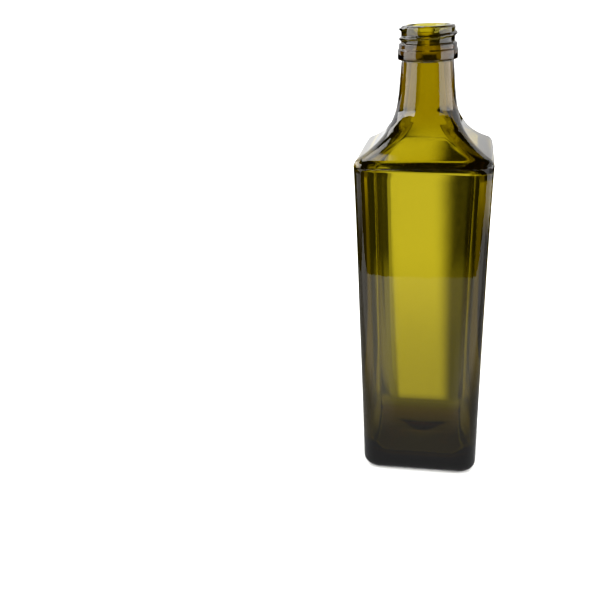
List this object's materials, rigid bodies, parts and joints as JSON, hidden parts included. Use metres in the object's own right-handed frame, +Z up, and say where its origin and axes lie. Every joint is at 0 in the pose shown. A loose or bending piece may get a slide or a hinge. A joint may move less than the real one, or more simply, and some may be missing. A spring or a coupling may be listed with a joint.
{
  "type": "glass olive oil bottle",
  "caption": "Tall square glass bottle for olive oil, empty and uncapped, with a concave shoulder, a round neck, a collar and a screw thread below the open mouth.",
  "frame": {"origin": "centre of the footprint, on the surface that the bottle stands on", "axes": "+Z up along the neck's axis, -Y out of the side that faces the viewer, +X to the viewer's right; all four sides are alike"},
  "size_m": [0.0732, 0.0732, 0.255],
  "materials": {
    "bottle_glass": "clear olive green bottle glass, fire-polished, smooth and glossy"
  },
  "bodies": {
    "root": {"bottle": "bottle_glass"}
  },
  "joints": []
}
